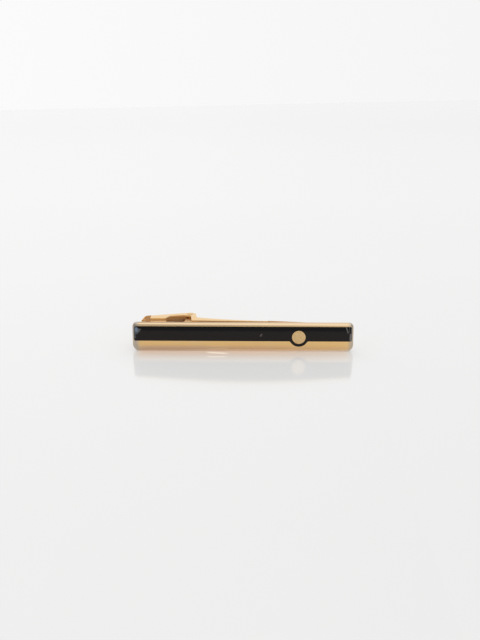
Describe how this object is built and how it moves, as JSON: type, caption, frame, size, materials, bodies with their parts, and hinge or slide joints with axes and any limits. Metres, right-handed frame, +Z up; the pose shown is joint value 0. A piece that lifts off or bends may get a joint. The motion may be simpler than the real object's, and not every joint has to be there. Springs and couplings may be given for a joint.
{
  "type": "tie clip",
  "caption": "Slim gold-plated tie clip with a black enamel stripe, a round gold accent and a sprung, toothed clip hinged on its back.",
  "frame": {"origin": "middle of the bar's lower long edge, at half of its thickness, on the flat that it stands on", "axes": "+X along the bar to the right as its face is seen, -Y the way the enamelled face looks, +Z up across the bar's height"},
  "size_m": [0.057, 0.0125, 0.0074],
  "materials": {
    "gold_plate": "polished yellow gold plate on brass",
    "gold_plate_clip": "gold plate on stamped brass sheet, softer polish",
    "black_enamel": "hard glossy black enamel, ground flush",
    "spring_steel": "bright drawn spring wire"
  },
  "bodies": {
    "bar": {"bar": "gold_plate", "enamel_inlay": "black_enamel", "hinge_bracket": "gold_plate_clip", "hinge_pin": "gold_plate_clip", "torsion_spring": "spring_steel"},
    "arm": {"clip_arm": "gold_plate_clip"}
  },
  "joints": [
    {"name": "clip_pivot", "type": "hinge", "parent": "bar", "child": "arm", "pos_m": [-0.0142, 0.01, 0.0037], "axis": [0, 0, 1], "range_deg": [0, 12], "stiffness_Nm_per_rad": 0.028, "springref_deg": -81.93, "deforming": ["torsion_spring"]}
  ]
}
